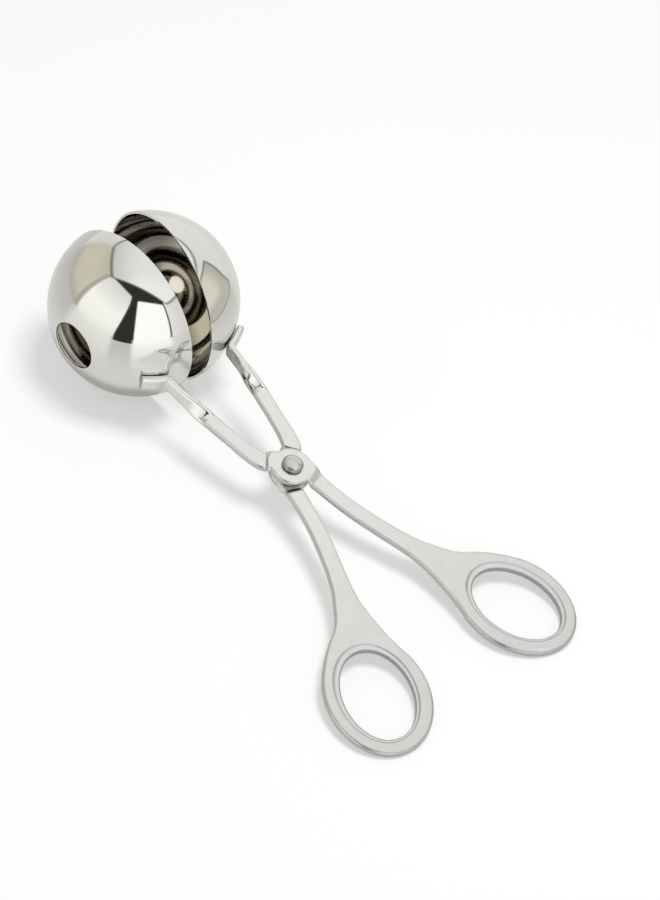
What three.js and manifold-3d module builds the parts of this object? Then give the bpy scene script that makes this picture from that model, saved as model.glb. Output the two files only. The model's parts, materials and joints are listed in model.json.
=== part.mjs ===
// Meatball scoop: crossed tongs with a polished bowl on the end of each arm, lying open on a table.
// Millimetres, +Z up. The bowls lie towards -X and the finger loops towards +X. The origin is at the
// bottom centre of the whole, on the table.
//
// Both arms are the same stamping: the lower one is the upper one turned over about the long axis. An arm
// is drawn in its closed pose, with the rivet at the origin and the strip's mid plane at z = 0.
import * as THREE from "three";
import { mergeVertices } from "three/addons/utils/BufferGeometryUtils.js";
import Module from "manifold-3d";

// The strip that an arm is stamped from.
const stripThickness = 2;
const handleWidth = 4.7;
const neckWidth = 4.3;
const edgeRun = 0.9; // how far in from the side the rounded edge starts
const edgeDrop = 0.7; // how far down the side it ends

// Finger loop: an oval hole in an oval ring.
const loopReach = 64.7; // rivet to the middle of the hole, along the scoop
const loopSpread = 19.2; // the same, across it
const holeLength = 24.8;
const holeWidth = 18.6;
const ringEndWidth = 4.2; // metal beyond the ends of the hole
const ringSideWidth = 4.6; // metal beside it
const loopTurn = THREE.MathUtils.degToRad(18);
const coinWidth = 1.7; // the pressed slope round the hole
const coinDepth = 0.35;
const coinShiftAlong = 0.5; // the slope is wider towards the handle
const coinShiftAcross = 0.4; // and on the outer side

// Pivot.
const bossRadius = 5.6;
const bossMargin = 0.2; // level ground round the boss before the step down
const stepRun = 1.6; // length of the step between the boss and the handle
const neckStepStart = 0.6; // level ground before the shorter step on the neck's side
const neckStepRun = 0.6;
const neckLift = 0.65; // how high the neck is left by that step
const neckFall = 32; // and how far it takes to come down to the handle's level
const rivetRadius = 1.5;
const rivetHeadRadius = 2.8;
const rivetHeadHeight = 1.4;
const rivetTailRadius = 2.6;
const rivetTailHeight = 1;
const rivetEdge = 0.35; // upright edge under the dome

// Neck and weld tab.
const neckOffset = 7.5; // from the long axis to the upright part of the strip
const twistStart = 23.7; // rivet to the start of the quarter turn
const tabLength = 6.2;
const tabBendRadius = 1.6;

// Bowl: part of a ball, cut a little short of its middle.
const bowlRadius = 24;
const bowlWall = 0.7;
const bowlCut = 3; // from the ball's centre to the rim's plane
const bowlReach = 62.3; // rivet to the middle of the rim
const poleHoleRadius = 6.75;

// Fits and the pose.
const clearance = 0.3; // between pieces that touch
const openHalfAngle = THREE.MathUtils.degToRad(4.6);
const overrun = 1; // how far a cutter passes through

// Where the throat's edges run into the ring: angle round the ring from its far end, share of the ring's
// size, steps to the next row.
const blendShares = [
  [THREE.MathUtils.degToRad(100), 0.96, 2],
  [THREE.MathUtils.degToRad(118), 1, 2],
];
// Outline of the handle, from the ring to the boss: along (share of loopReach), across (share of
// loopSpread), width (share of the ring's full width), steps to the next row.
const throatShares = [
  [0.842, 0.826, 0.775, 2],
  [0.79, 0.758, 0.63, 2],
  [0.739, 0.688, 0.478, 2],
  [0.686, 0.628, 0.356, 2],
  [0.628, 0.57, 0.273, 2],
];
// The same, with the width as a share of handleWidth.
const handleShares = [
  [0.57, 0.503, 1.255, 2],
  [0.518, 0.447, 1.11, 3],
  [0.463, 0.39, 1.04, 4],
  [0.31, 0.258, 0.99, 3],
  [0.2165, 0.203, 0.97, 3],
  [0.1545, 0.179, 0.97, 3],
];
// The steps on either side of the boss, as shares of bossRadius, with the width as a share of handleWidth.
const bossShares = [
  [1.2, 0.554, 1.02, 4],
  [0.907, 0.5, 1.12, 2],
  [0.755, 0.448, 1.36, 2],
  [0.6, 0.366, 1.6, 2],
  [0, 0.06, 1.7, 2],
  [-0.6, -0.4, 1.55, 2],
  [-0.73, -0.49, 1.32, 2],
  [-0.849, -0.61, 1.17, 6],
  [-1.062, -0.84, 1.08, 4],
];
// The flat front, as shares of twistStart and neckOffset, with the width as a share of neckWidth.
const frontShares = [
  [0.41, 0.765, 1.1, 3],
  [0.61, 0.833, 1.01, 3],
  [0.82, 0.897, 1, 3],
  [1, 0.94, 1, 2],
  [1.04, 0.95, 1, 10],
];
// The turn: share of the way from twistStart to the tab's bend, and share of a quarter turn.
const twistShares = [
  [0, 0],
  [0.07, 0.28],
  [0.18, 0.44],
  [0.37, 0.69],
  [0.55, 0.93],
  [0.7, 1],
  [1, 1],
];

const loopSegments = 60;
const boreSegments = 32;
const bowlSegments = 48;
const bowlRings = 9;
const bendSteps = 5;
const tabSteps = 4;

const wasm = await Module();
wasm.setup();

// A closed geometry as a solid that can be joined and cut.
function toSolid(geometry) {
  const bare = geometry.clone();
  bare.deleteAttribute("normal");
  bare.deleteAttribute("uv");
  const merged = mergeVertices(bare);
  return new wasm.Manifold(
    new wasm.Mesh({
      numProp: 3,
      vertProperties: merged.attributes.position.array,
      triVerts: new Uint32Array(merged.index.array),
    }),
  );
}

function toGeometry(solid) {
  const mesh = solid.getMesh();
  const geometry = new THREE.BufferGeometry();
  geometry.setAttribute("position", new THREE.BufferAttribute(mesh.vertProperties, mesh.numProp));
  geometry.setIndex(new THREE.BufferAttribute(mesh.triVerts, 1));
  geometry.computeVertexNormals();
  return geometry;
}

// A solid skinned over rings of points, all with the same count, each seen anticlockwise from the end
// that the rings run towards.
function loft(rings) {
  const count = rings[0].length;
  const points = rings.flat();
  const faces = [];
  for (let ring = 1; ring < rings.length; ring++) {
    for (let i = 0; i < count; i++) {
      const next = (i + 1) % count;
      const a = (ring - 1) * count + i;
      const b = (ring - 1) * count + next;
      const c = ring * count + next;
      const d = ring * count + i;
      faces.push(a, b, c, a, c, d);
    }
  }
  const last = (rings.length - 1) * count;
  for (let i = 1; i < count - 1; i++) {
    faces.push(0, i + 1, i);
    faces.push(last, last + i, last + i + 1);
  }
  const geometry = new THREE.BufferGeometry().setFromPoints(points);
  geometry.setIndex(faces);
  return geometry;
}

// The strip's section as [across, up] pairs: a flat bar with its four edges rounded.
function stripSection(width) {
  const run = Math.min(edgeRun, width / 3);
  const half = stripThickness / 2;
  const corners = [
    [1, 1],
    [-1, 1],
    [-1, -1],
    [1, -1],
  ];
  const section = [];
  corners.forEach(([side, face], corner) => {
    const arc = [0, Math.PI / 4, Math.PI / 2];
    if (corner % 2) arc.reverse();
    for (const angle of arc) {
      const across = width / 2 - run + run * Math.cos(angle);
      const up = half - edgeDrop + edgeDrop * Math.sin(angle);
      section.push([side * across, face * up]);
    }
    // Two more points across each flat let it turn smoothly in the twist.
    if (corner % 2 === 0) {
      const third = (width / 2 - run) / 3;
      section.push([side * third, face * half], [-side * third, face * half]);
    }
  });
  return section;
}

// Height of the strip's mid plane: raised over the other arm at the boss, level beyond the step to the
// handle. The step to the neck is lower and shorter, and the neck comes down the rest gently.
function liftAt(x, y) {
  const { clamp, lerp } = THREE.MathUtils;
  const bossLift = (stripThickness + clearance) / 2;
  const beyond = Math.hypot(x, y) - bossRadius - bossMargin;
  if (x > 0) return bossLift * (1 - clamp(beyond / stepRun, 0, 1));
  const stepped = clamp((beyond - neckStepStart) / neckStepRun, 0, 1);
  const fallen = clamp((-x - bossRadius - bossMargin) / neckFall, 0, 1);
  return lerp(bossLift, neckLift * (1 - fallen), stepped);
}

function turnAt(share) {
  const clamped = THREE.MathUtils.clamp(share, 0, 1);
  const next = Math.max(1, twistShares.findIndex(([along]) => along >= clamped));
  const [fromShare, fromTurn] = twistShares[next - 1];
  const [toShare, toTurn] = twistShares[next];
  const between = (clamped - fromShare) / (toShare - fromShare);
  return (Math.PI / 2) * THREE.MathUtils.lerp(fromTurn, toTurn, between);
}

// The ball's centre, seen in the arm's frame.
function ballCentre() {
  return new THREE.Vector2(-bowlReach, bowlCut - clearance / 2);
}

// The tab's middle line: a bend away from the neck, then an arc that lies along the bowl.
function tabCurves() {
  const centre = ballCentre();
  const arcRadius = bowlRadius + clearance + stripThickness / 2;
  const bendDrop = neckOffset + tabBendRadius + centre.y;
  const between = arcRadius + tabBendRadius;
  const bendCentre = new THREE.Vector2(
    centre.x + Math.sqrt(between ** 2 - bendDrop ** 2),
    -neckOffset - tabBendRadius,
  );
  const contact = Math.asin(bendDrop / between);
  const bend = new THREE.EllipseCurve(
    bendCentre.x, bendCentre.y, tabBendRadius, tabBendRadius,
    Math.PI / 2, Math.PI - contact, false, 0,
  );
  const arc = new THREE.EllipseCurve(
    centre.x, centre.y, arcRadius, arcRadius,
    -contact, -contact - tabLength / arcRadius, true, 0,
  );
  return { bend, arc, bendStart: bendCentre.x };
}

// Places along the strip's middle line, from inside the loop's ring to the end of the weld tab.
function stripStations() {
  const ringLength = holeLength + 2 * ringEndWidth;
  const ringWidth = holeWidth + 2 * ringSideWidth;
  const rows = [
    ...blendShares.map(([angle, size, n]) => [
      loopReach + (ringLength / 2) * size * Math.cos(angle) * Math.cos(loopTurn),
      loopSpread + (ringLength / 2) * size * Math.cos(angle) * Math.sin(loopTurn),
      ringWidth * size * Math.sin(angle),
      n,
    ]),
    ...throatShares.map(([x, y, w, n]) => [x * loopReach, y * loopSpread, w * ringWidth, n]),
    ...handleShares.map(([x, y, w, n]) => [x * loopReach, y * loopSpread, w * handleWidth, n]),
    ...bossShares.map(([x, y, w, n]) => [x * bossRadius, y * bossRadius, w * handleWidth, n]),
    ...frontShares.map(([x, y, w, n]) => [-x * twistStart, -y * neckOffset, w * neckWidth, n]),
  ];
  const { bend, arc, bendStart } = tabCurves();
  const levelShare = 0.55; // where the neck has come out to its full offset
  const levelAt = -THREE.MathUtils.lerp(twistStart, -bendStart, levelShare);
  // Width rides along as the third coordinate.
  const spine = new THREE.CatmullRomCurve3(
    [...rows.map(([x, y, w]) => [x, y, w]), [levelAt, -neckOffset, neckWidth], [bendStart, -neckOffset, neckWidth]]
      .map((row) => new THREE.Vector3(...row)),
    false,
    "centripetal",
  );
  const spans = [...rows.map(([, , , n]) => n), 3];
  const stations = [];
  spans.forEach((steps, span) => {
    for (let i = 0; i < steps; i++) {
      const at = (span + i / steps) / spans.length;
      const point = spine.getPoint(at);
      const heading = spine.getTangent(at);
      stations.push({ x: point.x, y: point.y, angle: Math.atan2(heading.y, heading.x), width: point.z });
    }
  });
  for (const [curve, steps] of [[bend, bendSteps], [arc, tabSteps]]) {
    const first = curve === bend ? 0 : 1;
    for (let i = first; i <= steps; i++) {
      const point = curve.getPoint(i / steps);
      const heading = curve.getTangent(i / steps);
      stations.push({ x: point.x, y: point.y, angle: Math.atan2(heading.y, heading.x), width: neckWidth });
    }
  }
  for (const station of stations) {
    station.lift = liftAt(station.x, station.y);
    station.turn = turnAt((-station.x - twistStart) / (-bendStart - twistStart));
  }
  return stations;
}

// The strip's section set square to the middle line at a station.
function stationRing({ x, y, angle, width, lift, turn }) {
  const sideX = -Math.sin(angle);
  const sideY = Math.cos(angle);
  return stripSection(width).map(([across, up]) => {
    const outward = across * Math.cos(turn) + up * Math.sin(turn);
    const height = up * Math.cos(turn) - across * Math.sin(turn);
    return new THREE.Vector3(x + outward * sideX, y + outward * sideY, lift + height);
  });
}

// A disc or oval of the strip's thickness with the same rounded edge, centred on z = 0.
function roundedPlate(halfLength, halfWidth, segments) {
  const shape = new THREE.Shape().absellipse(0, 0, halfLength, halfWidth, 0, 2 * Math.PI, false, 0);
  const plate = new THREE.ExtrudeGeometry(shape, {
    depth: stripThickness - 2 * edgeDrop,
    curveSegments: segments / 2, // an oval gets two pieces for each
    bevelThickness: edgeDrop,
    bevelSize: edgeRun,
    bevelOffset: -edgeRun,
    bevelSegments: 2,
  });
  return plate.translate(0, 0, -stripThickness / 2 + edgeDrop);
}

// Cutter for the finger hole: straight in the middle and sloping out to both faces.
function holeCutter() {
  const half = stripThickness / 2;
  const slope = coinWidth / coinDepth;
  const levels = [
    [-half - overrun, coinWidth + slope * overrun, 1],
    [-half + coinDepth, 0, 0],
    [half - coinDepth, 0, 0],
    [half + overrun, coinWidth + slope * overrun, 1],
  ];
  const rings = levels.map(([z, extra, shift]) => {
    const ring = [];
    for (let i = 0; i < loopSegments; i++) {
      const angle = (2 * Math.PI * i) / loopSegments;
      ring.push(new THREE.Vector3(
        (holeLength / 2 + extra) * Math.cos(angle) - shift * coinShiftAlong,
        (holeWidth / 2 + extra) * Math.sin(angle) + shift * coinShiftAcross,
        z,
      ));
    }
    return ring;
  });
  return loft(rings);
}

function placeAtLoop(geometry) {
  return geometry.rotateZ(loopTurn).translate(loopReach, loopSpread, 0);
}

// One arm: a strip skinned along its middle line, joined to the loop's ring and the boss, with the finger
// hole and the rivet's bore cut through.
function armGeometry() {
  const strip = toSolid(loft(stripStations().map(stationRing)));
  const ring = roundedPlate(holeLength / 2 + ringEndWidth, holeWidth / 2 + ringSideWidth, loopSegments);
  const boss = roundedPlate(bossRadius, bossRadius, boreSegments);
  boss.translate(0, 0, liftAt(0, 0));
  const bore = new THREE.CylinderGeometry(
    rivetRadius + clearance, rivetRadius + clearance,
    2 * stripThickness + 2 * overrun, boreSegments,
  ).rotateX(Math.PI / 2);
  const solid = strip
    .add(toSolid(placeAtLoop(ring)))
    .add(toSolid(boss))
    .subtract(toSolid(placeAtLoop(holeCutter())))
    .subtract(toSolid(bore));
  return toGeometry(solid);
}

// The bowl, with its rim's plane at y = 0 and its pole towards +Y.
function bowlGeometry() {
  const profile = [];
  for (const [radius, inward] of [[bowlRadius, false], [bowlRadius - bowlWall, true]]) {
    const rimAngle = Math.asin(bowlCut / radius);
    const holeAngle = Math.acos(poleHoleRadius / radius);
    for (let i = 0; i <= bowlRings; i++) {
      const share = inward ? 1 - i / bowlRings : i / bowlRings;
      const angle = THREE.MathUtils.lerp(rimAngle, holeAngle, share);
      profile.push(new THREE.Vector2(radius * Math.cos(angle), radius * Math.sin(angle) - bowlCut));
    }
  }
  profile.push(profile[0].clone());
  return new THREE.LatheGeometry(profile, bowlSegments);
}

// A low dome's outline, from its middle out to its edge, as [radius, height] pairs.
function domeOutline(radius, height) {
  const domeSteps = 5;
  const rise = height - rivetEdge;
  const ball = (radius ** 2 + rise ** 2) / (2 * rise);
  const reach = Math.asin(radius / ball);
  const outline = [];
  for (let i = 0; i <= domeSteps; i++) {
    const angle = (reach * i) / domeSteps;
    outline.push([ball * Math.sin(angle), height - ball * (1 - Math.cos(angle))]);
  }
  return outline;
}

// The rivet, upright, with the middle of the two bosses at z = 0.
function rivetGeometry() {
  const seat = stripThickness + clearance * 1.5;
  const tail = domeOutline(rivetTailRadius, rivetTailHeight).map(([r, z]) => [r, -seat - z]);
  const head = domeOutline(rivetHeadRadius, rivetHeadHeight).map(([r, z]) => [r, seat + z]);
  const profile = [
    ...tail,
    [rivetTailRadius, -seat],
    [rivetRadius, -seat],
    [rivetRadius, seat],
    [rivetHeadRadius, seat],
    ...head.reverse(),
  ].map((pair) => new THREE.Vector2(...pair));
  return new THREE.LatheGeometry(profile, boreSegments).rotateX(Math.PI / 2);
}

// How far the scoop leans so that the rims and the far ends of the loops all touch the table, and how
// high that holds the rivet.
function restingLean() {
  const rimRadius = Math.sqrt(bowlRadius ** 2 - bowlCut ** 2);
  const halfLength = holeLength / 2 + ringEndWidth - edgeRun;
  const halfWidth = holeWidth / 2 + ringSideWidth - edgeRun;
  const turned = loopTurn + openHalfAngle;
  const loopEnd = Math.hypot(halfLength * Math.cos(turned), halfWidth * Math.sin(turned));
  const loopMiddle = loopReach * Math.cos(openHalfAngle) - loopSpread * Math.sin(openHalfAngle);
  const span = bowlReach * Math.cos(openHalfAngle) + loopMiddle + loopEnd;
  const half = stripThickness / 2;
  const lean = Math.asin(rimRadius / Math.hypot(span, half)) - Math.atan2(half, span);
  const rivetHeight = (loopMiddle + loopEnd) * Math.sin(lean) + half * Math.cos(lean);
  return { lean, rivetHeight };
}

const satinSteel = new THREE.MeshStandardMaterial({ color: 0xd6d7d2, roughness: 0.34, metalness: 1 });
const polishedSteel = new THREE.MeshStandardMaterial({ color: 0xe2e1dc, roughness: 0.06, metalness: 1 });
const rivetSteel = new THREE.MeshStandardMaterial({ color: 0xc9c9c5, roughness: 0.26, metalness: 1 });

const armShape = armGeometry();
const bowlShape = bowlGeometry();

// One arm with its bowl, in the arm's own frame.
function armAssembly(prefix) {
  const assembly = new THREE.Group();
  const arm = new THREE.Mesh(armShape, satinSteel.clone());
  arm.name = prefix + "_arm";
  const bowl = new THREE.Mesh(bowlShape, polishedSteel.clone());
  bowl.name = prefix + "_bowl";
  bowl.position.set(-bowlReach, -clearance / 2, 0);
  bowl.rotation.z = Math.PI;
  assembly.add(arm, bowl);
  return assembly;
}

function scoop() {
  const { lean, rivetHeight } = restingLean();
  const leaning = new THREE.Group();
  leaning.rotation.y = lean;
  leaning.position.z = rivetHeight;

  const upper = armAssembly("upper");
  upper.rotation.z = openHalfAngle;

  const lower = new THREE.Group();
  lower.rotation.z = -openHalfAngle;
  const turnedOver = armAssembly("lower");
  turnedOver.rotation.x = Math.PI;
  lower.add(turnedOver);

  const rivet = new THREE.Mesh(rivetGeometry(), rivetSteel);
  rivet.name = "pivot_rivet";
  leaning.add(upper, lower, rivet);

  const part = new THREE.Group();
  part.add(leaning);
  part.updateMatrixWorld(true);
  const box = new THREE.Box3().setFromObject(part, true);
  leaning.position.x -= (box.min.x + box.max.x) / 2;
  leaning.position.y -= (box.min.y + box.max.y) / 2;
  leaning.position.z -= box.min.z;
  return part;
}

export default scoop();
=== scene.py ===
"""Meatball scoop: polished bowls, tumbled satin arms and a half-bright rivet on one frame."""

import json
from math import acos, asin, atan2, cos, hypot, pi, radians, sin, sqrt

import bmesh
import bpy
import numpy as np
from bpy.props import FloatProperty, FloatVectorProperty, IntProperty, PointerProperty
from mathutils import Matrix, Vector


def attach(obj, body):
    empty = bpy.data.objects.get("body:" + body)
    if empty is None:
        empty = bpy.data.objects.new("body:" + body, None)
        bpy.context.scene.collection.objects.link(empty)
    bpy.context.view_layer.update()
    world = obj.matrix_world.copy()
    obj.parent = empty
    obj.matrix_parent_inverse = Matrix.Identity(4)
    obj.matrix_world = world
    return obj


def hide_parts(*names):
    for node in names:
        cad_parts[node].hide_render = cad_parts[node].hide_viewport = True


bl_info = {
    "name": "Meatball Scoop",
    "version": (1, 0, 0),
    "blender": (4, 5, 0),
    "location": "3D View > Sidebar > Scoop",
    "description": "Builds a scissor-action meatball scoop in polished and tumbled steel",
    "category": "Add Mesh",
}

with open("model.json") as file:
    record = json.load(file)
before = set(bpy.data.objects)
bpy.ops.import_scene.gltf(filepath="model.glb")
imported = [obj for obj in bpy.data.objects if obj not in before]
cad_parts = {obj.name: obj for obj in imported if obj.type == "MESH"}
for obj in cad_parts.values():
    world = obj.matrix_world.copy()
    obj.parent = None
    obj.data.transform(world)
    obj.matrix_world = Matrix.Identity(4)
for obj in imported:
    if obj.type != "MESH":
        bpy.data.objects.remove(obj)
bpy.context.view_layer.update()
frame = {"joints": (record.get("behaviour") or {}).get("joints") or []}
HINGE = frame["joints"][0]

# Outline of an arm from the loop's ring to the twist, as shares of its sizes. Each row is a place
# along and across the arm, the strip's width there and the steps to the next row. In the first
# table it is an angle round the ring, a share of the ring's size and the steps.
BLEND_ROWS = ((radians(100), 0.96, 2), (radians(118), 1.0, 2))
THROAT_ROWS = (
    (0.842, 0.826, 0.775, 2),
    (0.79, 0.758, 0.63, 2),
    (0.739, 0.688, 0.478, 2),
    (0.686, 0.628, 0.356, 2),
    (0.628, 0.57, 0.273, 2),
)
HANDLE_ROWS = (
    (0.57, 0.503, 1.255, 2),
    (0.518, 0.447, 1.11, 3),
    (0.463, 0.39, 1.04, 4),
    (0.31, 0.258, 0.99, 3),
    (0.2165, 0.203, 0.97, 3),
    (0.1545, 0.179, 0.97, 3),
)
BOSS_ROWS = (
    (1.2, 0.554, 1.02, 4),
    (0.907, 0.5, 1.12, 2),
    (0.755, 0.448, 1.36, 2),
    (0.6, 0.366, 1.6, 2),
    (0.0, 0.06, 1.7, 2),
    (-0.6, -0.4, 1.55, 2),
    (-0.73, -0.49, 1.32, 2),
    (-0.849, -0.61, 1.17, 6),
    (-1.062, -0.84, 1.08, 4),
)
FRONT_ROWS = (
    (0.41, 0.765, 1.1, 3),
    (0.61, 0.833, 1.01, 3),
    (0.82, 0.897, 1.0, 3),
    (1.0, 0.94, 1.0, 2),
    (1.04, 0.95, 1.0, 10),
)
# The quarter twist: share of its length, and share of the turn.
TWIST_ROWS = (
    (0.0, 0.0), (0.07, 0.28), (0.18, 0.44), (0.37, 0.69), (0.55, 0.93), (0.7, 1.0), (1.0, 1.0),
)
LEVEL_SHARE = 0.55  # of the twist, where the neck has come out to its full offset

STOCK = "stock"  # the attribute that holds each point's place in its own piece
CUT_STEEL_AND_SHADE = "cut_steel_and_shade"  # the attribute, 0 to 1, for the hole wall's cut steel and for painted shade elsewhere
# How strongly each place is marked. The punched wall of the finger hole is 1, cut steel; the other
# places are painted shade.
CREASE_SHADE, SIDE_SHADE, RAMP_SHADE = 0.5, 0.6, 0.35
NECK_RAMP_SHADE, END_SHADE, INNER_SHADE = 0.8, 0.9, 0.9
WALL_REACH, SHOULDER_REACH, RING_REACH = 1.03, 1.45, 1.2  # shares of the finger hole's half sizes
SHOULDER_RISE, SHOULDER_DEPTH = 0.75, 0.8  # shares of the coined depth
WALL_SLACK, SIDE_START, SIDE_FADE, END_DEPTH = 0.00004, 0.00005, 0.00035, 0.0002  # metres
STEP_SPAN, INNER_FACE = (0.05, 0.95), 0.4  # shares of a step's run and of the strip's thickness


def kept_as(kind, **settings):
    """A short way to write properties of one kind."""

    def field(name, description, default, **more):
        texts = {"name": name, "description": description}
        return kind(**texts, default=default, **{**settings, **more})

    return field


length = kept_as(FloatProperty, min=0.0, precision=5, unit="LENGTH")
angle = kept_as(FloatProperty, subtype="ANGLE", unit="ROTATION")
factor = kept_as(FloatProperty, min=0.0, max=1.0)
focal = kept_as(FloatProperty, unit="CAMERA")
number = kept_as(IntProperty, min=1, max=256)
colour = kept_as(FloatVectorProperty, size=3, min=0.0, max=1.0, subtype="COLOR")


class ScoopArmSizes(bpy.types.PropertyGroup):
    """Sizes of the stamped arm"""

    thickness: length("Strip Thickness", "Thickness of the stamped strip", 0.002)
    handle_width: length("Handle Width", "Width between the loop and the boss", 0.0047)
    neck_width: length("Neck Width", "Width in front of the boss", 0.0043)
    edge_run: length("Edge Run", "Width of the rounded edge", 0.0009)
    edge_drop: length("Edge Drop", "Height of the rounded edge", 0.0007)
    loop_reach: length("Loop Reach", "From rivet to finger hole, along the scoop", 0.0647)
    loop_spread: length("Loop Spread", "From rivet to finger hole, across the scoop", 0.0192)
    hole_length: length("Hole Length", "Long way across the finger hole", 0.0248)
    hole_width: length("Hole Width", "Short way across the finger hole", 0.0186)
    ring_end: length("Ring End", "Metal beyond the finger hole's ends", 0.00409)
    ring_side: length("Ring Side", "Metal beside the finger hole", 0.00457)
    loop_turn: angle("Loop Turn", "Angle of the finger hole to the scoop", radians(18))
    coin_width: length("Coined Width", "Width of the slope round the finger hole", 0.0017)
    coin_depth: length("Coined Depth", "Depth of the pressed slope", 0.00035)
    coin_shoulder: length("Coined Shoulder", "Width of the slope's rounded outer edge", 0.0011)
    coin_crease: length("Coined Crease", "How far the shoulder's foot is sunk", 0.00005)
    coin_along: length("Coined Shift Along", "Shift of the slope towards the handle", 0.0005)
    coin_across: length("Coined Shift Across", "Shift of the slope to the outer side", 0.0004)
    boss_radius: length("Boss Radius", "Radius of the round boss", 0.0056)
    boss_margin: length("Boss Margin", "Level ground before a step", 0.0002)
    step_run: length("Step Run", "Length of the handle's step", 0.0016)
    neck_step_start: length("Neck Step Start", "Level ground before the neck's step", 0.0006)
    neck_step_run: length("Neck Step Run", "Length of the neck's step", 0.0006)
    neck_lift: length("Neck Lift", "How high the neck is left by its step", 0.00065)
    neck_fall: length("Neck Fall", "Run in which the neck comes down level", 0.032)
    neck_offset: length("Neck Offset", "From the long axis to the upright strip", 0.0075)
    twist_start: length("Twist Start", "From rivet to quarter turn", 0.0237)
    tab_length: length("Tab Length", "Length of the weld tab on the bowl", 0.0062)
    tab_bend: length("Tab Bend", "Radius of the bend between neck and tab", 0.0016)
    clearance: length("Clearance", "Gap between the two arms at the boss", 0.0003)
    weld_gap: length("Weld Gap", "Gap under the weld tab", 0.00012)
    bore_radius: length("Bore Radius", "Radius of the rivet's hole", 0.0018)
    open_half: angle("Open Half Angle", "How far each arm is turned from closed", radians(4.6))
    refine: number("Refinement", "Steps laid for each step of the outline", 4, max=8)


class ScoopBowlSizes(bpy.types.PropertyGroup):
    """Sizes of the bowls"""

    radius: length("Bowl Radius", "Outside radius of the bowl", 0.024)
    wall: length("Wall", "Thickness of the bowl's wall", 0.0007)
    cut: length("Cut", "From ball's centre to rim", 0.003)
    reach: length("Bowl Reach", "From the rivet to the middle of the rim", 0.0623)
    hole_radius: length("Hole Radius", "Radius of the hole at the pole", 0.00675)
    lip: length("Lip", "Radius of the eased edges", 0.00012)
    segments: number("Segments", "Segments round the bowl", 144, min=24)
    rings: number("Rings", "Rings from rim to hole", 40, min=8)


class ScoopRivetSizes(bpy.types.PropertyGroup):
    """Sizes of the rivet"""

    shank_radius: length("Shank Radius", "Radius of the shank", 0.0015)
    head_radius: length("Head Radius", "Radius of the domed head", 0.0028)
    head_height: length("Head Height", "Height of the domed head", 0.0014)
    tail_radius: length("Tail Radius", "Radius of the tail", 0.0026)
    tail_height: length("Tail Height", "Height of the tail", 0.001)
    edge: length("Edge", "Upright edge under the dome", 0.00035)


class ScoopFinishes(bpy.types.PropertyGroup):
    """Colours and finishes of the steel"""

    satin: colour("Satin Steel", "Colour of the tumbled arms", (0.75, 0.745, 0.733))
    burnished: colour("Burnished Edges", "Colour of the arms' edges", (0.78, 0.80, 0.83))
    satin_roughness: factor("Satin Roughness", "Roughness of the tumbled arms", 0.2)
    # Cut steel on the finger hole's punched wall, and painted shade on the creases, sides, steps,
    # the neck's inner face and the tab's end.
    cut_steel_and_shade: colour("Cut Steel and Shade", "Colour of the cut and drawn places", (0.33, 0.342, 0.36))
    polished: colour("Polished Steel", "Colour of the polished bowls", (0.79, 0.785, 0.76))
    # The inside's colour is a darker, browner copy of the polished steel: painted shade.
    inside: colour("Bowl Inside", "Colour of the bowls' duller inside", (0.70, 0.665, 0.595))
    inside_roughness: factor("Inside Roughness", "Roughness of the bowls' inside", 0.055)
    polished_roughness: factor("Polished Roughness", "Roughness of the polished bowls", 0.035)
    rivet: colour("Rivet Steel", "Colour of the rivet", (0.69, 0.69, 0.68))
    rivet_roughness: factor("Rivet Roughness", "Roughness of the rivet", 0.21)


class ScoopStudio(bpy.types.PropertyGroup):
    """Floor, light and camera"""

    floor_colour: colour("Floor", "Colour of the floor", (0.97, 0.97, 0.965))
    sky: factor("Sky", "Brightness of the soft light from all round", 0.52, max=4.0)
    lift: factor("Floor Lift", "How far the camera sees the floor whitened", 0.4)
    key_power: factor("Key Power", "Power of the large soft lamp, in watts", 2.98, max=100.0)
    key_size: length("Key Size", "Side of the large soft lamp", 0.22)
    dish_depth: length("Dish Depth", "Depth of the lower bowl's dish in the floor", 0.00415)
    dish_radius: length("Dish Radius", "Radius of that dish", 0.038)
    lens: focal("Lens", "Focal length of the camera", 93.67)


def sizes():
    scene = bpy.context.scene
    return scene.scoop_arm, scene.scoop_bowl, scene.scoop_rivet


# Placement. The frame's hinge gives where the rivet is and how far the scoop leans.


def leaning():
    x, _, z = HINGE["axis"]
    return Matrix.Translation(HINGE["pos_m"]) @ Matrix.Rotation(atan2(-x, -z), 4, "Y")


def arm_matrix(side):
    half = bpy.context.scene.scoop_arm.open_half
    if side == "upper":
        return leaning() @ Matrix.Rotation(half, 4, "Z")
    return leaning() @ Matrix.Rotation(-half, 4, "Z") @ Matrix.Rotation(pi, 4, "X")


# Meshes.


def side_faces(rings, count, closed=False):
    """Faces between rings of count points, and from the last ring to the first if closed."""
    faces = []
    for ring in range(rings if closed else rings - 1):
        low, high = ring * count, (ring + 1) % rings * count
        for i in range(count):
            j = (i + 1) % count
            faces.append((low + i, low + j, high + j, high + i))
    return faces


def skinned(rings):
    """Points and faces of a solid skinned over rings of points."""
    count = len(rings[0])
    last = (len(rings) - 1) * count
    faces = side_faces(len(rings), count)
    faces.append(tuple(range(count - 1, -1, -1)))
    faces.append(tuple(range(last, last + count)))
    return [tuple(point) for ring in rings for point in ring], faces


def own_points(made):
    """The points of a piece's mesh, in rows of x, y and z."""
    points = np.zeros(len(made.data.vertices) * 3, np.float32)
    made.data.vertices.foreach_get("co", points)
    return points.reshape(-1, 3)


def new_object(name, points, faces):
    mesh = bpy.data.meshes.new(name)
    mesh.from_pydata(points, [], faces)
    mesh.update()
    made = bpy.data.objects.new(name, mesh)
    bpy.context.scene.collection.objects.link(made)
    return made


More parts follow.
